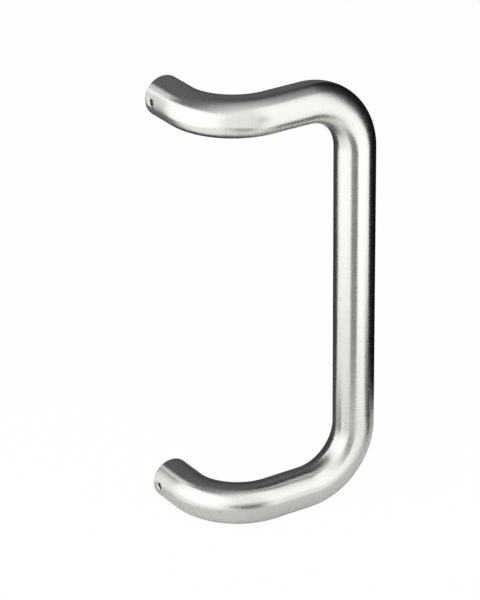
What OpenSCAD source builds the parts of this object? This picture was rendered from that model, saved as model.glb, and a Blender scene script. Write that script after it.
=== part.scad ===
// Offset pull handle for a door: one bent steel tube that steps sideways from
// its two fixing ends to a straight upright grip.
//
// The door face is the plane y = 0 and the handle stands on its -Y side. The
// origin is on the door face, midway between the two fixing ends. +Z runs up
// along the grip and +X points from the fixing ends towards the grip.
// All sizes are millimetres.

/* [Handle] */
// Distance between the centres of the two fixing ends
fixing_centres = 300; // [200:5:600]
// Sideways distance from the fixing ends to the grip, centre line to centre line
side_offset = 115; // [90:1:200]
// Distance from the door face to the centre line of the grip
projection = 66.5; // [64:0.5:120]

/* [Tube] */
// Outer diameter of the tube
tube_d = 30; // [26:0.5:40]
// Wall thickness of the tube
tube_wall = 1.5; // [1:0.1:2.5]
// Centre-line radius of all four bends
bend_r = 42.5; // [30:0.5:46]
// Chamfer on the outer edge of both tube ends
end_chamfer = 0.4; // [0.1:0.1:0.8]

/* [Fixing bushes] */
// Diameter of the blind bore that slips over the spigot on the door
spigot_bore_d = 12; // [10:0.5:14]
// Depth of the blind bore at its full diameter
spigot_bore_depth = 14; // [12:0.5:16]
// Steel left between the point of the blind bore and the inner end of the bush
bush_floor = 2.4; // [1.5:0.1:3.5]
// Chamfer at the mouth of the bore and on the inner end of the bush
bush_chamfer = 0.5; // [0.2:0.1:1]
// Gap all round the bush for the bonding film in the tube
bond_gap = 0.05; // [0.02:0.01:0.2]

/* [Set screws] */
// Thread size of the set screws
screw_d = 6; // [4:1:8]
// How far a set screw stands back from the outside of the tube
screw_recess = 2.5; // [0.5:0.1:3]
// Distance from the door face to the axis of a set screw
screw_from_door = 7; // [6:0.5:10]
// How far the tip of a set screw stays out of the spigot bore
screw_setback = 0.5; // [0.2:0.1:1.5]
// Gap all round a set screw in its tapped hole
thread_gap = 0.05; // [0.02:0.01:0.1]
// Width of the countersink round the mouth of a tapped hole
hole_countersink = 0.4; // [0.1:0.1:0.8]

/* [Hidden] */

tube_r = tube_d / 2;
fixing_z = fixing_centres / 2;
post_length = projection - bend_r;
arm_length = side_offset - 2 * bend_r;
grip_length = fixing_centres - 2 * bend_r;

bore_r = spigot_bore_d / 2;
drill_point_angle = 118;
drill_point_depth = bore_r / tan(drill_point_angle / 2);
bush_r = tube_r - tube_wall - bond_gap;
bush_length = spigot_bore_depth + drill_point_depth + bush_floor;

screw_r = screw_d / 2 - thread_gap;
screw_tip_x = bore_r + screw_setback;
screw_length = tube_r - screw_recess - screw_tip_x;
screw_chamfer = screw_d / 12;
cup_r = screw_d / 4;
cup_depth = cup_r / 2;
key_width = screw_d / 2;
key_depth = screw_length / 2;

// How far a cutting shape runs past the surface that it cuts
past = 1;
$fn = 64;
bend_steps = 96;

// Both fixing ends: what stands at the upper one has its mirror image at the lower one
module at_upper() {
    translate([0, 0, fixing_z]) children();
}

module at_lower() {
    mirror([0, 0, 1]) at_upper() children();
}

module at_both() {
    at_upper() children();
    at_lower() children();
}

// A quarter of a ring with a round section, from +X to +Y about +Z
module quarter_bend(section_d) {
    rotate_extrude(angle = 90, $fn = bend_steps)
        translate([bend_r, 0]) circle(d = section_d, $fn = $fn);
}

// The post is the straight stub that stands out from the door face
module post(section_d, run_past) {
    translate([0, run_past, 0]) rotate([90, 0, 0])
        cylinder(h = post_length + run_past, d = section_d);
}

// From the post: a flat bend sideways, a straight arm, and a bend into the grip
module arm(section_d) {
    translate([bend_r, -post_length, 0]) rotate([0, 0, 180]) quarter_bend(section_d);
    translate([bend_r, -projection, 0]) rotate([0, 90, 0]) cylinder(h = arm_length, d = section_d);
    translate([side_offset - bend_r, -projection, -bend_r]) rotate([90, 0, 0])
        quarter_bend(section_d);
}

module grip(section_d) {
    translate([side_offset, -projection, 0]) cylinder(h = grip_length, d = section_d, center = true);
}

// The whole bent rod, from one fixing end to the other
module bent_rod(section_d, run_past = 0) {
    at_both() {
        post(section_d, run_past);
        arm(section_d);
    }
    grip(section_d);
}

// What the chamfer takes off the outer edge of a tube end
module end_chamfer_cut() {
    rotate([90, 0, 0]) rotate_extrude() polygon([
        [tube_r - end_chamfer - past, -past],
        [tube_r + past, -past],
        [tube_r + past, end_chamfer + past]
    ]);
}

// The hole for a set screw, on the side that faces away from the grip, drilled
// and tapped in one go through the tube and the bush inside it
module tapped_hole() {
    mouth_r = screw_d / 2 + hole_countersink;
    translate([0, -screw_from_door, 0]) rotate([0, -90, 0]) {
        cylinder(h = tube_r + past, d = screw_d);
        translate([0, 0, tube_r - hole_countersink])
            cylinder(h = hole_countersink + past, r1 = screw_d / 2, r2 = mouth_r + past);
    }
}

module handle_tube() {
    color("silver") difference() {
        bent_rod(tube_d);
        bent_rod(tube_d - 2 * tube_wall, past);
        at_both() {
            end_chamfer_cut();
            tapped_hole();
        }
    }
}

// A turned plug in the end of the tube, with a blind drilled bore in its face
module bush() {
    rotate([90, 0, 0]) rotate_extrude() polygon([
        [bore_r + bush_chamfer, 0],
        [bush_r, 0],
        [bush_r, bush_length - bush_chamfer],
        [bush_r - bush_chamfer, bush_length],
        [0, bush_length],
        [0, spigot_bore_depth + drill_point_depth],
        [bore_r, spigot_bore_depth],
        [bore_r, bush_chamfer]
    ]);
}

module drilled_bush() {
    color("gray") difference() {
        bush();
        tapped_hole();
    }
}

module upper_bush() {
    at_upper() drilled_bush();
}

module lower_bush() {
    at_lower() drilled_bush();
}

// A headless screw with a cupped tip and a hexagon socket, standing on its tip
module set_screw() {
    color("dimgray") difference() {
        rotate_extrude() polygon([
            [0, cup_depth],
            [cup_r, 0],
            [screw_r - screw_chamfer, 0],
            [screw_r, screw_chamfer],
            [screw_r, screw_length - screw_chamfer],
            [screw_r - screw_chamfer, screw_length],
            [0, screw_length]
        ]);
        translate([0, 0, screw_length - key_depth])
            cylinder(h = key_depth + past, d = key_width / cos(30), $fn = 6);
    }
}

module fitted_set_screw() {
    translate([-screw_tip_x, -screw_from_door, 0]) rotate([0, -90, 0]) set_screw();
}

module upper_set_screw() {
    at_upper() fitted_set_screw();
}

module lower_set_screw() {
    at_lower() fitted_set_screw();
}

handle_tube();
upper_bush();
lower_bush();
upper_set_screw();
lower_set_screw();
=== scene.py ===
# %% [markdown]
# # An offset pull handle in satin steel
# The real handle is one steel tube, 30 mm thick, that a bender has turned four times. It leaves the
# door at two short posts, steps sideways, and carries a straight upright grip.
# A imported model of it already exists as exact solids. This lesson keeps those solids as the frame and
# makes what the eye judges: the bent wall, the small holes, the ground finish and the light.

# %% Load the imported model
import math

import bmesh
import bpy
from mathutils import Matrix, Quaternion, Vector


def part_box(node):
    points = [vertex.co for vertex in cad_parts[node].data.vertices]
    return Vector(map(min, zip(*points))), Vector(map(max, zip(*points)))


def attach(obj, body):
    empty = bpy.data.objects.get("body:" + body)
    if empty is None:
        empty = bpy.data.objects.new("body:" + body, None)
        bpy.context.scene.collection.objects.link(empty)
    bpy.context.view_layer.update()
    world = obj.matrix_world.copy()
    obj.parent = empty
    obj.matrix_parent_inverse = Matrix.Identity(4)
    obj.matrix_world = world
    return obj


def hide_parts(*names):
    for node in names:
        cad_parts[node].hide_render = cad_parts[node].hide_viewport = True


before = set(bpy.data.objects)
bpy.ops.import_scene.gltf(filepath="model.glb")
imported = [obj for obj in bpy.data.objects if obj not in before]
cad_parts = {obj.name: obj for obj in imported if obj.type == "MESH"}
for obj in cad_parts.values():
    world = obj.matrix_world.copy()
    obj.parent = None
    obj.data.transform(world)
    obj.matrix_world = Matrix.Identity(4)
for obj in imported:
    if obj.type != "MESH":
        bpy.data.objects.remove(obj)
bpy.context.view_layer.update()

MM = 0.001
print("nodes in the frame:", sorted(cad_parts))

# %% [markdown]
# ## The camera
# A long lens from more than two metres away keeps the two arms nearly parallel, as a catalogue
# picture does. The camera looks down from the front left.
# Its place, aim and small roll come from fitting the outline of the bent tube to the picture, so the
# render can be laid over the photograph. The lens is given for a 36 mm sensor on the long side.

# %% Place the camera
scene = bpy.context.scene
camera_data = bpy.data.cameras.new("long_lens")
camera = bpy.data.objects.new("long_lens", camera_data)
scene.collection.objects.link(camera)
scene.camera = camera

camera_data.sensor_width = 36.0
camera_data.lens = 197.63
camera.location = (-1.10314, -1.80084, 1.00525)
aim = Vector((0.03275, -0.04414, 0.00201)) - camera.location
roll = Quaternion((0, 0, 1), -math.radians(0.569))
camera.rotation_euler = (aim.to_track_quat("-Z", "Y") @ roll).to_euler()
scene.view_settings.view_transform = "Standard"
print("camera stands", round(aim.length, 3), "m away")

# %% [markdown]
# ## A little help with node trees
# Every material below is a small graph. These two helpers add a node with its values and join two
# sockets, which keeps each recipe short enough to read in one go.

# %% Helpers for node graphs
def add_node(tree, kind, **values):
    node = tree.nodes.new(kind)
    for key, value in values.items():
        if key in node.inputs:
            node.inputs[key].default_value = value
        else:
            setattr(node, key, value)
    return node


def join(tree, source, target):
    tree.links.new(source, target)


def seen_directly(tree):
    """1 for rays from the camera, and for those that reach here by a mirror or through glass."""
    path = add_node(tree, "ShaderNodeLightPath")
    either = add_node(tree, "ShaderNodeMath", operation="MAXIMUM")
    join(tree, path.outputs["Is Camera Ray"], either.inputs[0])
    join(tree, path.outputs["Is Glossy Ray"], either.inputs[1])
    any_of = add_node(tree, "ShaderNodeMath", operation="MAXIMUM")
    join(tree, either.outputs[0], any_of.inputs[0])
    join(tree, path.outputs["Is Transmission Ray"], any_of.inputs[1])
    return any_of.outputs[0]


# %% [markdown]
# ## White surroundings
# The picture is cut out on pure white. The world is a soft white that lights everything a little, and
# is exactly 1 where it is looked at, which is white on screen.

# %% Light the world softly
LIGHT_ON_OBJECT = 0.35
WHITE_ON_SCREEN = 1.0

world = bpy.data.worlds.new("white_room")
scene.world = world
world.use_nodes = True
sky = world.node_tree
background = sky.nodes["Background"]
background.inputs["Color"].default_value = (1, 1, 1, 1)
level = add_node(sky, "ShaderNodeMapRange")
level.inputs["To Min"].default_value = LIGHT_ON_OBJECT
level.inputs["To Max"].default_value = WHITE_ON_SCREEN
join(sky, seen_directly(sky), level.inputs["Value"])
join(sky, level.outputs["Result"], background.inputs["Strength"])
print("world made:", world.name)

# %% [markdown]
# ## The floor
# The handle hangs on a door, so it has no foot of its own. For its picture it stands on its lower arm.
# The floor is matt and pale. Most of its brightness where it is looked at is a plain white of its own
# and the rest is the light that falls on it, so a trace of the handle's shadow is left.

# %% Lay the floor
FLOOR_Z = -0.1665
FLOOR_SIDE = 14.0
OWN_WHITE = 0.985


def flat_board(name, width, depth, turn, place, flare=1.0):
    """A board as a bmesh grid: width along x, depth along y, and flare widens its lower edge."""
    sheet = bmesh.new()
    size = Matrix.Diagonal((width / 2, depth / 2, 1, 1))
    bmesh.ops.create_grid(sheet, x_segments=1, y_segments=1, size=1.0, matrix=size)
    lower_edge = [v for v in sheet.verts if v.co.y < 0]
    bmesh.ops.scale(sheet, verts=lower_edge, vec=(flare, 1, 1))
    bmesh.ops.transform(sheet, verts=sheet.verts, matrix=Matrix.Translation(place) @ turn)
    mesh = bpy.data.meshes.new(name)
    sheet.to_mesh(mesh)
    sheet.free()
    board = bpy.data.objects.new(name, mesh)
    scene.collection.objects.link(board)
    return board


LEVEL = Matrix.Identity(4)
floor = flat_board("pale_floor", FLOOR_SIDE, FLOOR_SIDE, LEVEL, (0, 0, FLOOR_Z))

pale = bpy.data.materials.new("pale_floor")
pale.use_nodes = True
tree = pale.node_tree
tree.nodes.clear()
matt = add_node(tree, "ShaderNodeBsdfDiffuse", Color=(0.93, 0.93, 0.93, 1))
white = add_node(tree, "ShaderNodeEmission", Color=(1, 1, 1, 1), Strength=1.0)
share = add_node(tree, "ShaderNodeMath", operation="MULTIPLY")
share.inputs[1].default_value = OWN_WHITE
blend = add_node(tree, "ShaderNodeMixShader")
surface = add_node(tree, "ShaderNodeOutputMaterial")
join(tree, seen_directly(tree), share.inputs[0])
join(tree, share.outputs[0], blend.inputs[0])
join(tree, matt.outputs[0], blend.inputs[1])
join(tree, white.outputs[0], blend.inputs[2])
join(tree, blend.outputs[0], surface.inputs["Surface"])
floor.data.materials.append(pale)

# %% [markdown]
# ## Three soft boxes
# Ground steel has almost no colour of its own: it shows the room. The two wide bright bands along the
# grip are two soft boxes, one close in front on the right and one on the left. A third, narrower one
# closes the corner behind the left one, for the posts. The grey stripe between the bands is the gap
# that the camera looks through.

# %% Hang the soft boxes
QUARTER = math.radians(90)
HOUSING_GAP = 4 * MM


def glow(name, first, last=None, axis=0, start=0.0, end=1.0):
    """A plain brightness, or one that runs from first to last along an axis between two places."""
    finish = bpy.data.materials.new(name)
    finish.use_nodes = True
    tree = finish.node_tree
    tree.nodes.clear()
    light = add_node(tree, "ShaderNodeEmission", Color=(*first, 1), Strength=1.0)
    if last:
        place = add_node(tree, "ShaderNodeTexCoord")
        split = add_node(tree, "ShaderNodeSeparateXYZ")
        span = add_node(tree, "ShaderNodeMapRange")
        span.inputs["From Min"].default_value = start
        span.inputs["From Max"].default_value = end
        ramp = add_node(tree, "ShaderNodeValToRGB")
        ramp.color_ramp.elements[0].color = (*first, 1)
        ramp.color_ramp.elements[1].color = (*last, 1)
        join(tree, place.outputs["Object"], split.inputs[0])
        join(tree, split.outputs[axis], span.inputs["Value"])
        join(tree, span.outputs["Result"], ramp.inputs["Fac"])
        join(tree, ramp.outputs["Color"], light.inputs["Color"])
    surface = add_node(tree, "ShaderNodeOutputMaterial")
    join(tree, light.outputs[0], surface.inputs["Surface"])
    return finish


def hide_from_camera(board, finish):
    board.data.materials.append(finish)
    board.visible_camera = False
    board.visible_diffuse = False
    board.visible_shadow = False
    return board


def soft_box(name, place, turn, width, height, brightness):
    """An area lamp with a black housing close behind it, because a lamp alone lets light through."""
    lamp = bpy.data.lights.new(name, "AREA")
    lamp.shape = "RECTANGLE"
    lamp.size = width
    lamp.size_y = height
    lamp.energy = 4.0 * width * height * brightness
    box = bpy.data.objects.new(name, lamp)
    box.location = place
    box.rotation_euler = turn
    scene.collection.objects.link(box)
    back = box.rotation_euler.to_matrix().to_4x4() @ Matrix.Translation((0, 0, HOUSING_GAP))
    housing = flat_board(name + "_housing", width, height, back, place)
    hide_from_camera(housing, glow(name + "_housing", (0, 0, 0)))
    return box


soft_box("front_soft_box", (0.181, -0.255, 0.142), (QUARTER, 0, 0), 0.248, 0.517, 1.07)
soft_box("left_soft_box", (-0.300, 0.001, 0.095), (0, -QUARTER, 0), 0.520, 0.724, 1.11)
towards_posts = (QUARTER, 0, math.radians(207))
soft_box("corner_soft_box", (-0.235, 0.433, 0.355), towards_posts, 0.145, 0.310, 1.10)

# %% [markdown]
# ## Dark and grey cards
# A tube that mirrors white on all sides looks flat, so a photographer stands dark cards where the
# edges should fall off. The black one on the right gives the grip its dark right edge, and the grey
# one behind gives the left edge and the tops of the arms theirs. Grey boards on the floor keep the
# undersides from going white.
# Each card glows with the brightness that the steel is to show, and three of them run from one grey
# to another. They are hidden from the camera and light no matt surface: only the steel sees them.
# A small fill card hangs close in front of the upper flat bend, which would mirror the gap between
# the soft boxes without it.

# %% Stand the cards
def card(name, width, depth, turn, place, finish, flare=1.0):
    return hide_from_camera(flat_board(name, width, depth, turn, place, flare), finish)


def grey(value, warmth=0.0):
    return (value * (1 + warmth), value, value * (1 - 1.5 * warmth))


FACING_X = Matrix.Rotation(QUARTER, 4, "Y")
FACING_Y = Matrix.Rotation(QUARTER, 4, "X")
LEANING = Matrix.Rotation(math.radians(45), 4, "X")
card(
    "black_card_right", 0.553, 0.225, FACING_X, (0.225, -0.0525, 0.1275),
    glow("black_felt", grey(0.004)),
)
card("dark_card_right", 1.2, 1.9, FACING_X, (0.900, -0.10, 0.20), glow("dark_felt", grey(0.06)))
card(
    "grey_card_behind", 2.2, 1.6, FACING_Y, (0.30, 0.470, 0.45),
    glow("grey_card", grey(0.06), grey(0.125), 2, 0.0, 0.50),
)
card(
    "grey_card_above", 1.6, 0.50, LEANING, (0.10, -0.078, 0.577),
    glow("graded_card", grey(0.78), grey(0.12), 1, -0.25, 0.05),
)
card("dark_card_above", 2.4, 1.4, LEVEL, (0.10, 0.45, 0.90), glow("ceiling_card", grey(0.10)))
card(
    "graded_card_in_front", 3.0, 2.0, FACING_Y, (0.0, -1.30, 0.60),
    glow("front_card", grey(0.16, 0.04), grey(1.0), 2, 0.02, 0.50),
)
fill_card = card(
    "fill_card", 0.103, 0.085, FACING_Y, (-0.0235, -0.131, 0.1325),
    glow("fill_card", grey(0.98, 0.01)),
)
fill_card.visible_shadow = True    # otherwise the lamps behind it would add to its own brightness
card(
    "pale_strip_in_front", 0.175, 0.047, FACING_Y, (0.1325, -0.257, -0.141),
    glow("strip", grey(1.2, 0.01)),
)
card(
    "grey_strip_in_front", 0.20, 0.047, FACING_Y, (0.320, -0.257, -0.141),
    glow("grey_strip", grey(0.25)),
)

# %% [markdown]
# ## Boards on the floor
# The camera looks down, so most of what the grip mirrors lies on the floor, and the boards there draw
# its bands all the way down. A glowing board under the left soft box is a painted pool of that box's
# light on the floor, and it carries the left band on. A wedge that opens towards the camera is the dark
# gap between the bands. Dark boards behind give the left edge; the one close behind the handle is its
# painted shadow on the floor. One in front on the right carries the dark right edge down. A glowing
# board in front is a painted pool of light under the front soft box and keeps the lower bend bright,
# and a grey one on the right lights the undersides of the arms.

# %% Lay the boards
LAYER = 0.4 * MM

matt_grey = bpy.data.materials.new("matt_board")
matt_grey.use_nodes = True
board_shader = matt_grey.node_tree.nodes["Principled BSDF"]
board_shader.inputs["Base Color"].default_value = (0.90, 0.892, 0.875, 1)
board_shader.inputs["Roughness"].default_value = 1.0
board_shader.inputs["Specular IOR Level"].default_value = 0.0


def floor_card(name, width, depth, x, y, layer, finish, degrees=0.0, flare=1.0):
    """Lies on the floor, and a higher layer covers a lower one."""
    turn = Matrix.Rotation(math.radians(degrees), 4, "Z")
    return card(name, width, depth, turn, (x, y, FLOOR_Z + layer * LAYER), finish, flare)


floor_card("matt_board", 1.40, 1.50, 0.10, -0.55, 1, matt_grey)
floor_card("back_board", 1.40, 0.40, 0.10, 0.40, 1, glow("back_board", grey(0.08)))
# Painted light: this board glows like the pool of the left soft box's light on the floor.
floor_card("painted_light_board_left", 0.26, 0.60, -0.18, -0.10, 2, glow("painted_light_board", grey(1.05, 0.01)))
floor_card(
    "camera_wedge", 0.12, 0.50, -0.120, -0.415, 3,
    glow("camera_wedge", grey(0.05, 0.09), grey(0.34, 0.05), 1, -0.52, -0.22), -33.0, 3.2,
)
floor_card("dark_board_left", 0.55, 0.30, -0.077, 0.327, 4, glow("dark_left", grey(0.035)), 140.6)
# Painted shadow: this dark board is the handle's shadow on the floor close behind it, and it also
# darkens the grip's left edge lower down.
floor_card("shade_board", 0.18, 0.22, 0.11, 0.105, 5, glow("shade_board", grey(0.075)))
floor_card("pale_board_right", 0.34, 0.42, 0.40, 0.19, 3, glow("pale_right", grey(0.30)))
floor_card("shade_board_front", 0.42, 0.140, 0.40, -0.185, 3, glow("front_shade", grey(0.012)))
# Painted light: this board glows like the pool of light on the floor under the front soft box.
floor_card("painted_light_board_front", 0.145, 0.105, 0.1175, -0.2025, 3, glow("painted_light_front", grey(1.0)))

# %% [markdown]
# ## The sizes of the tube
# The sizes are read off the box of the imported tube, so the pictured tube can't drift away from the
# solid one. Only the wall, the radius of the bends and the holes are written here.

# %% Read the sizes
low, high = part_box("handle_tube")
tube_r = -low.x
fixing_z = high.z - tube_r
side_offset = high.x - tube_r
projection = -low.y - tube_r
wall = 1.5 * MM
bend_r = 42.5 * MM
post_length = projection - bend_r
arm_length = side_offset - 2 * bend_r
grip_length = 2 * (fixing_z - bend_r)
hole_from_door = 7 * MM
print("tube", round(2 * tube_r / MM, 2), "mm, centres", round(2 * fixing_z / MM, 2), "mm apart")

# %% [markdown]
# ## One section, pushed and turned along its route
# A bender starts with a straight tube. The mesh starts with the tube's section: two circles, one for
# the outside and one for the bore. Both are extruded along the straights and spun round the bends
# together, so the wall keeps its thickness and no seam shows where a bend begins.
# Each point also remembers where it lay on the straight tube. The grinding marks will be drawn
# there, and so they follow the tube round its bends as real ones do.

# %% Draw the section at the upper fixing end
RING = 128
steel = bmesh.new()
straight = steel.verts.layers.float_vector.new("straight_place")


def section_circle(radius):
    verts = bmesh.ops.create_circle(steel, cap_ends=False, segments=RING, radius=radius)["verts"]
    for vert in verts:
        vert[straight] = (0, vert.co.x, vert.co.y)
    stand_up = Matrix.Translation((0, 0, fixing_z)) @ Matrix.Rotation(QUARTER, 4, "X")
    bmesh.ops.transform(steel, verts=verts, matrix=stand_up)
    return list({edge for vert in verts for edge in vert.link_edges})


outer_start = section_circle(tube_r)
inner_start = section_circle(tube_r - wall)
front_rings = outer_start + inner_start
print("section drawn with", len(steel.verts), "points")

# %% Helpers that carry the section on
def open_ends(geometry, travel):
    """Keeps the leading rings of a step and notes how far along the straight tube they lie."""
    for item in geometry:
        if isinstance(item, bmesh.types.BMVert):
            item[straight] = item[straight] + Vector((travel, 0, 0))
    return [e for e in geometry if isinstance(e, bmesh.types.BMEdge) and e.is_boundary]


def push(edges, direction, length, steps):
    stride = Vector(direction) * (length / steps)
    for _ in range(steps):
        made = bmesh.ops.extrude_edge_only(steel, edges=edges)["geom"]
        verts = [v for v in made if isinstance(v, bmesh.types.BMVert)]
        bmesh.ops.translate(steel, verts=verts, vec=stride)
        edges = open_ends(made, length / steps)
    return edges


def turn(edges, centre, axis, quarter, steps=36):
    for _ in range(steps):
        verts = list({v for e in edges for v in e.verts})
        made = bmesh.ops.spin(
            steel, geom=verts + edges, cent=centre, axis=axis, angle=quarter / steps, steps=1
        )["geom_last"]
        edges = open_ends(made, bend_r * QUARTER / steps)
    return edges


# %% Follow the route from the upper end to the lower one
HOLE_ROWS = 12
hole_row = tube_r * math.tau / RING
half_patch = HOLE_ROWS / 2 * hole_row
end_run = hole_from_door - half_patch
rest_of_post = post_length - hole_from_door - half_patch

rings = push(front_rings, (0, -1, 0), end_run, 3)
rings = push(rings, (0, -1, 0), 2 * half_patch, HOLE_ROWS)
rings = push(rings, (0, -1, 0), rest_of_post, 4)
rings = turn(rings, (bend_r, -post_length, fixing_z), (0, 0, 1), QUARTER)
rings = push(rings, (1, 0, 0), arm_length, 6)
rings = turn(rings, (side_offset - bend_r, -projection, fixing_z - bend_r), (0, 1, 0), QUARTER)
rings = push(rings, (0, 0, -1), grip_length, 16)
rings = turn(rings, (side_offset - bend_r, -projection, bend_r - fixing_z), (0, 1, 0), QUARTER)
rings = push(rings, (-1, 0, 0), arm_length, 6)
rings = turn(rings, (bend_r, -post_length, -fixing_z), (0, 0, 1), -QUARTER)
rings = push(rings, (0, 1, 0), rest_of_post, 4)
rings = push(rings, (0, 1, 0), 2 * half_patch, HOLE_ROWS)
rings = push(rings, (0, 1, 0), end_run, 3)
tube_length = max(v[straight].x for v in steel.verts)
print("tube bent,", round(tube_length / MM, 1), "mm long when straight")

# %% [markdown]
# ## Square ends
# Each end is sawn square and its burr is taken off. Bridging the two circles makes the flat ring that
# sits on the door, and a fine bevel on the outer edge is the eased corner.
# Two circles with one centre could be bridged the wrong way round, with faces right across the bore.
# So the inner circle stands out a little while they are bridged, and then goes back.
# The volume at the end shows that the wall is closed and faces outwards.

# %% Close and ease the two ends
STAND_OFF = 5 * MM
END_EASE = 0.4 * MM


def in_wall(vert, radius):
    _, side, up = vert[straight]
    return abs(math.hypot(side, up) - radius) < 0.02 * MM


def close_end(edges):
    inner_circle = list({v for e in edges for v in e.verts if in_wall(v, tube_r - wall)})
    stand_off = Vector((0, STAND_OFF, 0))
    bmesh.ops.translate(steel, verts=inner_circle, vec=stand_off)
    bmesh.ops.bridge_loops(steel, edges=edges)
    bmesh.ops.translate(steel, verts=inner_circle, vec=-stand_off)


close_end(front_rings)
close_end(rings)
corner = [e for e in front_rings + rings if all(in_wall(v, tube_r) for v in e.verts)]
bmesh.ops.bevel(
    steel, geom=corner, offset=END_EASE, segments=3, profile=0.5, affect="EDGES", material=-1
)
bmesh.ops.recalc_face_normals(steel, faces=steel.faces)
print("ends closed, open edges left:", sum(e.is_boundary for e in steel.edges))
CUBIC_CM = 1000 * MM**3
print("steel in the wall:", round(steel.calc_volume(signed=True) / CUBIC_CM, 2), "cubic centimetres")

# %% [markdown]
# ## The tapped holes
# A set screw in each end clamps the handle to its spigot. Its hole is drilled from the side that
# faces away from the grip, and its mouth is lightly countersunk.
# A Boolean would leave long thin faces round a hole this small, and long faces smear a reflection.
# So a patch of the wall is taken out instead, and its border is drawn in to the round mouth. The
# border is then pushed through the wall, and each ring is waved in and out to turn it into thread.
# The bushes are drilled by the same helpers, so both holes line up.

# %% Helpers for a drilled and tapped hole
THREAD_R = 3.0 * MM
THREAD_DEPTH = 0.5 * MM
PITCH = 1.0 * MM


def thread_radius(x, around, clearance=0.0):
    """The radius of an M6 thread at one depth and angle. Hole and screw share it, so they mesh."""
    phase = (x / PITCH + around / math.tau) % 1.0
    flank = 1.35 * abs(2 * phase - 1) - 0.175    # steeper than 1, so roots and crests come out flat
    return THREAD_R - clearance - THREAD_DEPTH * min(1.0, max(0.0, flank))


def wall_x(radius, off_axis):
    return -math.sqrt(radius * radius - off_axis * off_axis)


def patch_border(mesh, radius, z, columns):
    """Takes the wall's faces round the hole's place away and returns the border that they leave."""
    reach = math.radians(360 / RING * (columns + 0.1))
    patch = []
    for face in mesh.faces:
        x, y, height = face.calc_center_median()
        height -= z
        on_wall = abs(math.hypot(x, height) - radius) < 0.3 * MM
        if on_wall and x < 0 and abs(math.atan2(height, -x)) < reach:
            if abs(y + hole_from_door) < half_patch:
                patch.append(face)
    marked = set(patch)
    border = [e for f in patch for e in f.edges if sum(g in marked for g in e.link_faces) == 1]
    bmesh.ops.delete(mesh, geom=patch, context="FACES")
    return border


def ring_of(mesh, edges, shape):
    """Extrudes a closed border and sets each new point by its angle round the hole's own axis."""
    made = bmesh.ops.extrude_edge_only(mesh, edges=edges)["geom"]
    for vert in (v for v in made if isinstance(v, bmesh.types.BMVert)):
        vert.co = shape(vert.co)
    return [e for e in made if isinstance(e, bmesh.types.BMEdge) and e.is_boundary]


def hole_ring(z, nominal, x_at, threaded=0.0):
    """The shape of one ring round a hole's axis: threaded says how much of the thread it has."""
    def shape(point):
        around = math.atan2(point.z - z, point.y + hole_from_door)
        x = x_at(nominal * math.sin(around))
        radius = nominal + (thread_radius(x, around) - THREAD_R) * threaded
        return Vector((x, radius * math.cos(around) - hole_from_door, z + radius * math.sin(around)))
    return shape


def drill(mesh, z, outside, inside, columns=6, sink=0.4 * MM, count=16):
    """Drills from outside to inside radius: a rounded mouth, then as many thread rings as count."""
    outer = patch_border(mesh, outside, z, columns)
    inner = patch_border(mesh, inside, z, columns)
    mouth = THREAD_R + sink
    outer = ring_of(mesh, outer, hole_ring(z, mouth, lambda up: wall_x(outside, up)))
    for step in (0.35, 1.0):
        narrow, deep = math.sin(step * QUARTER), 1 - math.cos(step * QUARTER)
        outer = ring_of(mesh, outer, hole_ring(
            z, mouth - sink * narrow, lambda up: wall_x(outside, up) + sink * deep
        ))
    for step in range(1, count + 1):
        part = step / count
        threaded = min(1.0, 6 * part) * min(1.0, 6 * (1 - part) + 0.2)
        outer = ring_of(mesh, outer, hole_ring(
            z, THREAD_R,
            lambda up: (wall_x(outside, up) + sink) * (1 - part) + wall_x(inside, up) * part,
            threaded,
        ))
    bmesh.ops.bridge_loops(mesh, edges=outer + inner)


# %% Drill both holes
drill(steel, fixing_z, tube_r, tube_r - wall)
drill(steel, -fixing_z, tube_r, tube_r - wall)
print("holes drilled, open edges left:", sum(e.is_boundary for e in steel.edges))

# %% [markdown]
# ## Finish the tube's mesh
# Normals are recalculated, the faces are shaded smooth and only real corners stay sharp. Round the
# holes the remembered place is worked out again from where the points now are.
# Each point also says whether it lies on an edge that is rubbed bright: the eased corners of the ends
# and the mouths of the holes.
# The UV map runs along the tube in u and round it in v. The finish needs it for one thing: it tells
# the shader which way the tube runs.

# %% Normals, sharp corners and the map
def mend_places(mesh):
    for vert in mesh.verts:
        x, y, z = vert.co
        end = 1 if z > 0 else -1
        if x < 0 and y > -post_length and abs(y + hole_from_door) < half_patch + hole_row / 2:
            along = -y if end > 0 else tube_length + y
            vert[straight] = (along, x, (z - end * fixing_z) * end)


def shade(mesh, corner_degrees=32):
    bmesh.ops.recalc_face_normals(mesh, faces=mesh.faces)
    for face in mesh.faces:
        face.smooth = True
    for edge in mesh.edges:
        edge.smooth = edge.calc_face_angle(0) < math.radians(corner_degrees)


def map_wall(mesh, place_of, round_length):
    """u is the distance along the piece and v the distance round it, both in metres."""
    uv = mesh.loops.layers.uv.new("along_and_round")
    for face in mesh.faces:
        places = [place_of(loop.vert) for loop in face.loops]
        turns = [math.atan2(place[2], place[1]) / math.tau for place in places]
        if max(turns) - min(turns) > 0.5:
            turns = [t + 1 if t < 0 else t for t in turns]
        for loop, place, t in zip(face.loops, places, turns):
            loop[uv].uv = (place[0], t * round_length)


def as_piece(mesh_data, name):
    mesh = bpy.data.meshes.new(name)
    mesh_data.to_mesh(mesh)
    mesh_data.free()
    piece = bpy.data.objects.new(name, mesh)
    scene.collection.objects.link(piece)
    return piece


def mark_bare_edges(mesh, is_edge):
    """1 where hands, burrs or a tool have rubbed an edge bright, 0 elsewhere."""
    bare = mesh.verts.layers.float.new("bare_edge")
    for vert in mesh.verts:
        vert[bare] = 1.0 if is_edge(vert) else 0.0


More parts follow.
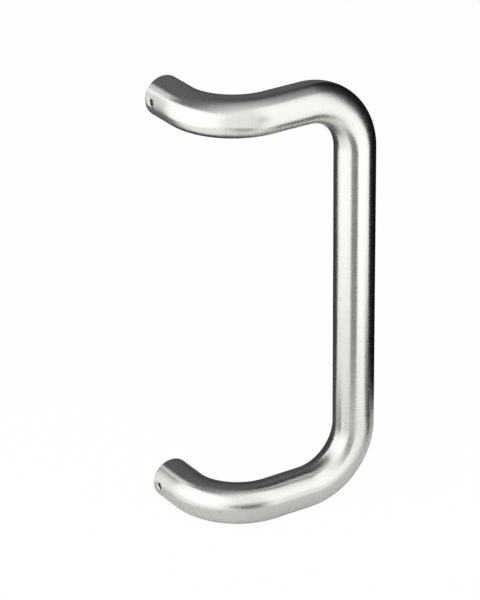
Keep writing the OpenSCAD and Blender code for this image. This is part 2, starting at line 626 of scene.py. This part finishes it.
def on_tube_edge(vert):
    along, side, up = vert[straight]
    outside = math.hypot(side, up) > tube_r - 0.5 * MM
    from_hole = math.hypot(vert.co.y + hole_from_door, abs(vert.co.z) - fixing_z)
    round_hole = vert.co.x < 0 and from_hole < THREAD_R + 0.45 * MM
    return outside and (min(along, tube_length - along) < 0.45 * MM or round_hole)


mend_places(steel)
mark_bare_edges(steel, on_tube_edge)
shade(steel)
map_wall(steel, lambda v: v[straight], math.tau * tube_r)
tube = as_piece(steel, "bent_tube")
print("tube has", len(tube.data.polygons), "faces")

# %% [markdown]
# ## Satin steel, ground round the tube
# The tube is finished on a belt that runs round it, so the marks are fine rings. Light is smeared
# along the tube and stays sharp across it: that is what anisotropy means. The shader's tangent
# follows u, the way the highlight is stretched.
# Four noises are laid on the straight tube: fine strokes, a few longer scratches, a slow unevenness
# that makes the edges of the bands waver as they do in the picture, and faint smears.

# %% Mix the satin finish
def steel_finish(name, colour, roughness, anisotropy, patterns):
    finish = bpy.data.materials.new(name)
    finish.use_nodes = True
    tree = finish.node_tree
    shader = tree.nodes["Principled BSDF"]
    shader.inputs["Metallic"].default_value = 1.0
    shader.inputs["Anisotropic"].default_value = anisotropy
    tangent = add_node(tree, "ShaderNodeTangent", direction_type="UV_MAP", uv_map="along_and_round")
    join(tree, tangent.outputs["Tangent"], shader.inputs["Tangent"])
    patterns(tree, shader, colour, roughness)
    return finish


def noise_on(tree, source, scale, detail=2.0, seed=0.0):
    """Noise whose grain is as many times per metre as scale says, along each direction."""
    stretch = add_node(tree, "ShaderNodeMapping")
    stretch.inputs["Location"].default_value = (seed, seed, seed)
    stretch.inputs["Scale"].default_value = scale
    grain = add_node(tree, "ShaderNodeTexNoise", Scale=1.0, Detail=detail, Roughness=0.55)
    join(tree, source, stretch.inputs["Vector"])
    join(tree, stretch.outputs["Vector"], grain.inputs["Vector"])
    return grain.outputs["Fac"]


def remap(tree, value, low_out, high_out, low_in=0.3, high_in=0.7):
    span = add_node(tree, "ShaderNodeMapRange")
    ends = {"From Min": low_in, "From Max": high_in, "To Min": low_out, "To Max": high_out}
    for key, number in ends.items():
        span.inputs[key].default_value = number
    join(tree, value, span.inputs["Value"])
    return span.outputs["Result"]


def combine(tree, operation, first, second):
    sum_up = add_node(tree, "ShaderNodeMath", operation=operation)
    join(tree, first, sum_up.inputs[0])
    join(tree, second, sum_up.inputs[1])
    return sum_up.outputs[0]


def bumps(tree, shader, layers):
    """Stacks bump layers, each a height and its depth in metres."""
    under = None
    for height, depth in layers:
        bump = add_node(tree, "ShaderNodeBump", Strength=1.0, Distance=depth)
        join(tree, height, bump.inputs["Height"])
        if under:
            join(tree, under, bump.inputs["Normal"])
        under = bump.outputs["Normal"]
    join(tree, under, shader.inputs["Normal"])


def tint(tree, shader, colour, value, darkest=0.94, lightest=1.0):
    shades = add_node(tree, "ShaderNodeValToRGB")
    for stop, level in zip(shades.color_ramp.elements, (darkest, lightest)):
        stop.color = (*[min(1.0, c * level) for c in colour], 1)
    join(tree, value, shades.inputs["Fac"])
    join(tree, shades.outputs["Color"], shader.inputs["Base Color"])


def bare_edges(tree, patchy):
    """The rubbed edges, broken up by a noise so that they don't look drawn."""
    bare = add_node(tree, "ShaderNodeAttribute", attribute_name="bare_edge").outputs["Fac"]
    return combine(tree, "MULTIPLY", bare, remap(tree, patchy, 0.4, 1.0))


def set_roughness(tree, shader, roughness, slow, slow_reach, fine, fine_reach, bare):
    """A slow change and a fine one round the mean roughness, and smoother where an edge is bare."""
    uneven = remap(tree, slow, roughness - slow_reach, roughness + slow_reach)
    rough = combine(tree, "ADD", uneven, remap(tree, fine, -fine_reach, fine_reach))
    polish = remap(tree, bare, 0.0, 0.10, 0, 1)
    join(tree, combine(tree, "SUBTRACT", rough, polish), shader.inputs["Roughness"])


def satin_patterns(tree, shader, colour, roughness):
    place = add_node(tree, "ShaderNodeAttribute", attribute_name="straight_place").outputs["Vector"]
    strokes = noise_on(tree, place, (900, 45, 45), detail=2.0)
    scratches = noise_on(tree, place, (420, 20, 20), detail=1.0, seed=3.0)
    uneven = noise_on(tree, place, (110, 70, 70), detail=1.0, seed=7.0)
    smears = noise_on(tree, place, (22, 30, 30), detail=2.0, seed=11.0)
    bare = bare_edges(tree, smears)
    marks = remap(tree, combine(tree, "ADD", strokes, smears), 0, 0.85, 0.7, 1.3)
    tint(tree, shader, colour, combine(tree, "MAXIMUM", marks, bare), 0.94, 1.02)
    set_roughness(tree, shader, roughness, smears, 0.02, strokes, 0.02, bare)
    bumps(tree, shader, [(uneven, 0.04 * MM), (scratches, 0.0008 * MM), (strokes, 0.0004 * MM)])


satin = steel_finish("satin_ground_steel", (0.77, 0.763, 0.742), 0.27, 0.80, satin_patterns)
tube.data.materials.append(satin)
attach(tube, "root")
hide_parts("handle_tube")
print("tube finished with", satin.name)

# %% [markdown]
# ## The bushes
# Seen from the door, each end of the tube is filled by a turned steel bush with a blind drilled bore
# for the spigot. A lathe turns such a part from bar, and spin does the same here: a profile of a few
# points goes once round the axis. The points lie closer together where the tapped hole comes through,
# so the helper that drilled the tube can drill the bush as well.
# The tube's own hole is clean and bright. Behind it the thread in the bush is painted nearly black:
# painted shade deep in the hole, and cutting oil. The edge between the two is what makes the hole read
# as deep.

# %% Turn and drill the bushes
BORE_R = 6.0 * MM
BORE_DEPTH = 14.0 * MM
BORE_POINT = BORE_R / math.tan(math.radians(118 / 2))    # a drill's point measures 118 degrees
BUSH_R = tube_r - wall - 0.05 * MM
BUSH_LENGTH = BORE_DEPTH + BORE_POINT + 2.4 * MM
EASE = 0.5 * MM
RIM_EASE = 0.15 * MM
DRIFT = -0.37    # how far the grooves' pattern moves on with depth, so that straight walls have them too


def bush_profile():
    """Radius and depth from the door face: along the bore, over the face and down the outside."""
    rows = [hole_from_door - half_patch + hole_row * step for step in range(HOLE_ROWS + 1)]
    bore = [(0, BORE_DEPTH + BORE_POINT), (BORE_R, BORE_DEPTH)]
    bore += [(BORE_R, row) for row in reversed(rows)]
    face = [(BORE_R, EASE), (BORE_R + EASE, 0), ((BORE_R + BUSH_R) / 2, 0), (BUSH_R - RIM_EASE, 0)]
    outside = [(BUSH_R, RIM_EASE)] + [(BUSH_R, row) for row in rows]
    back = [(BUSH_R, BUSH_LENGTH - EASE), (BUSH_R - EASE, BUSH_LENGTH), (0, BUSH_LENGTH)]
    return bore + face + outside + back


def remember_place(mesh, z, x_weight=0.0, y_weight=0.0):
    """Notes for each point how far along its profile it lies, and where round the axis."""
    layer = mesh.verts.layers.float_vector.new("straight_place")
    for vert in mesh.verts:
        x, y, height = vert.co
        side = x if y_weight else y + hole_from_door
        along = math.hypot(side, height - z) + x_weight * x + y_weight * y
        vert[layer] = (along, side, height - z)
    return layer


def at_bore_mouth(vert, z):
    reach = EASE + 0.1 * MM
    return vert.co.y > -reach and math.hypot(vert.co.x, vert.co.z - z) < BORE_R + reach


def mark_thread(mesh, outside):
    """Keeps the faces of the thread for a second finish, painted nearly black for the shade deep in the
    hole and for cutting oil.
    """
    for face in mesh.faces:
        x, y, z = face.calc_center_median()
        from_axis = math.hypot(y + hole_from_door, abs(z) - fixing_z)
        if -outside + 0.35 * MM < x < 0 and from_axis < THREAD_R + 0.02 * MM:
            face.material_index = 1


def turn_bush(name, z):
    mesh = bmesh.new()
    verts = [mesh.verts.new((-radius, -depth, z)) for radius, depth in bush_profile()]
    edges = [mesh.edges.new(pair) for pair in zip(verts, verts[1:])]
    bmesh.ops.spin(
        mesh, geom=verts + edges, cent=(0, 0, z), axis=(0, 1, 0),
        angle=math.tau, steps=RING, use_merge=True,
    )
    bmesh.ops.remove_doubles(mesh, verts=mesh.verts, dist=0.002 * MM)
    drill(mesh, z, BUSH_R, BORE_R, columns=12, sink=0.1 * MM, count=60)
    place = remember_place(mesh, z, y_weight=DRIFT)
    mark_thread(mesh, BUSH_R)
    mark_bare_edges(mesh, lambda v: at_bore_mouth(v, z))
    shade(mesh)
    map_wall(mesh, lambda v: v[place], math.tau * BUSH_R)
    print(name, "turned, open edges:", sum(e.is_boundary for e in mesh.edges))
    return as_piece(mesh, name)


bushes = [turn_bush("upper_turned_bush", fixing_z), turn_bush("lower_turned_bush", -fixing_z)]

# %% [markdown]
# ## The set screws
# The dark dot in each hole is the socket of a headless screw. It is built in the order a screw is
# made: the pointed bottom of the hexagon socket, its six walls, the end face, the thread and the cup
# at the tip that bites into the spigot. Each step is one more ring round the axis.
# The thread uses the same function as the holes, less a small gap, so it lies in their grooves.

# %% Build the set screws
SCREW_OUT = -12.5 * MM
SCREW_TIP = -6.5 * MM
SOCKET_END = -9.60 * MM
SOCKET_POINT = -8.7 * MM
ACROSS_FLATS = 3.0 * MM
SCREW_GAP = 0.05 * MM
CUT_DOWN_R = 2.4 * MM


def hexagon(around, size=ACROSS_FLATS):
    sixth = math.radians(60)
    return size / 2 / math.cos((around + sixth / 2) % sixth - sixth / 2)


def screw_side(x):
    """The threaded side, cut down by a chamfer towards both ends of the screw."""
    from_end = min(x - SCREW_OUT, SCREW_TIP - x)
    return lambda around: min(thread_radius(x, around, SCREW_GAP), CUT_DOWN_R + from_end)


def build_screw(name, z):
    mesh = bmesh.new()
    face_out = Matrix.Translation((SOCKET_POINT, -hole_from_door, z)) @ Matrix.Rotation(QUARTER, 4, "Y")
    bmesh.ops.create_circle(mesh, cap_ends=True, segments=48, radius=0.2 * MM, matrix=face_out)
    edges = list(mesh.edges)
    rings = [
        (SOCKET_END + 0.15 * MM, lambda a: 1.42 * MM),
        (SOCKET_END, hexagon),
        (SCREW_OUT + 0.50 * MM, hexagon),
        (SCREW_OUT + 0.20 * MM, hexagon),
        (SCREW_OUT, lambda a: hexagon(a) + 0.15 * MM),
        (SCREW_OUT, lambda a: 2.0 * MM),
        (SCREW_OUT, lambda a: 2.35 * MM),
    ]
    steps = 46
    length = SCREW_TIP - SCREW_OUT - 0.2 * MM
    places = [SCREW_OUT + 0.1 * MM + length * step / steps for step in range(steps + 1)]
    rings += [(x, screw_side(x)) for x in places]
    rings += [
        (SCREW_TIP, lambda a: 2.3 * MM),
        (SCREW_TIP, lambda a: 1.55 * MM),
        (SCREW_TIP - 0.1 * MM, lambda a: 1.40 * MM),
        (SCREW_TIP - 0.7 * MM, lambda a: 0.2 * MM),
    ]
    for x, radius_at in rings:
        def shape(point):
            around = math.atan2(point.z - z, point.y + hole_from_door)
            radius = radius_at(around)
            y = radius * math.cos(around) - hole_from_door
            return Vector((x, y, z + radius * math.sin(around)))
        edges = ring_of(mesh, edges, shape)
    bmesh.ops.edgeloop_fill(mesh, edges=edges)
    place = remember_place(mesh, z, x_weight=DRIFT)
    mark_bare_edges(mesh, lambda v: v.co.x < SCREW_OUT + 0.25 * MM)
    shade(mesh)
    map_wall(mesh, lambda v: v[place], math.tau * THREAD_R)
    print(name, "built, open edges:", sum(e.is_boundary for e in mesh.edges))
    return as_piece(mesh, name)


screws = [build_screw("upper_socket_screw", fixing_z), build_screw("lower_socket_screw", -fixing_z)]

# %% [markdown]
# ## Turned steel, dark steel and a thread painted dark
# The lathe leaves fine grooves round the bush, so its highlight fans out from the axis. The screws are
# hardened and a darker grey, and a key has rubbed the rim of the socket bright.
# The thread in the bushes is nearly black: painted shade deep in the hole, with the cutting oil that was
# never cleaned out of it. It is a second finish on the same mesh, for the faces that mark_thread picked.

# %% Finish the bushes and screws
def turned_patterns(tree, shader, colour, roughness):
    place = add_node(tree, "ShaderNodeAttribute", attribute_name="straight_place").outputs["Vector"]
    grooves = noise_on(tree, place, (2600, 30, 30), detail=3.0)
    stains = noise_on(tree, place, (160, 160, 160), detail=3.0, seed=5.0)
    bare = bare_edges(tree, stains)
    marks = remap(tree, combine(tree, "ADD", grooves, stains), 0, 0.8, 0.7, 1.3)
    tint(tree, shader, colour, combine(tree, "MAXIMUM", marks, bare), 0.84, 1.12)
    set_roughness(tree, shader, roughness, stains, 0.06, grooves, 0.04, bare)
    bumps(tree, shader, [(stains, 0.01 * MM), (grooves, 0.004 * MM)])


def oil_and_painted_shade_patterns(tree, shader, colour, roughness):
    place = add_node(tree, "ShaderNodeTexCoord").outputs["Object"]
    film = noise_on(tree, place, (700, 700, 700), detail=3.0)
    tint(tree, shader, colour, remap(tree, film, 0, 1), 0.6, 1.5)
    join(tree, remap(tree, film, roughness - 0.10, roughness + 0.10), shader.inputs["Roughness"])
    bumps(tree, shader, [(film, 0.02 * MM)])


turned = steel_finish("turned_steel", (0.62, 0.62, 0.61), 0.32, 0.6, turned_patterns)
dark = steel_finish("dark_screw_steel", (0.42, 0.42, 0.42), 0.38, 0.0, turned_patterns)
# The thread's near-black colour is painted shade deep in the hole, with some cutting oil.
oil_and_painted_shade = steel_finish("oil_and_painted_shade_thread", (0.04, 0.04, 0.04), 0.45, 0.0, oil_and_painted_shade_patterns)
for pieces, finish, slot_name, ends in (
    (bushes, turned, "turned_steel", ("upper_bush", "lower_bush")),
    (screws, dark, "screw_steel", ("upper_set_screw", "lower_set_screw")),
):
    for piece, node_name in zip(pieces, ends):
        piece.data.materials.append(finish)
        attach(piece, "root")
        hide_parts(node_name)
        print(piece.name, "stands for", node_name, "with", len(piece.data.polygons), "faces")
for bush in bushes:
    bush.data.materials.append(oil_and_painted_shade)

# %% [markdown]
# ## Update the scene
# The view layer is brought up to date once more at the end.

# %% Update the view layer
bpy.context.view_layer.update()
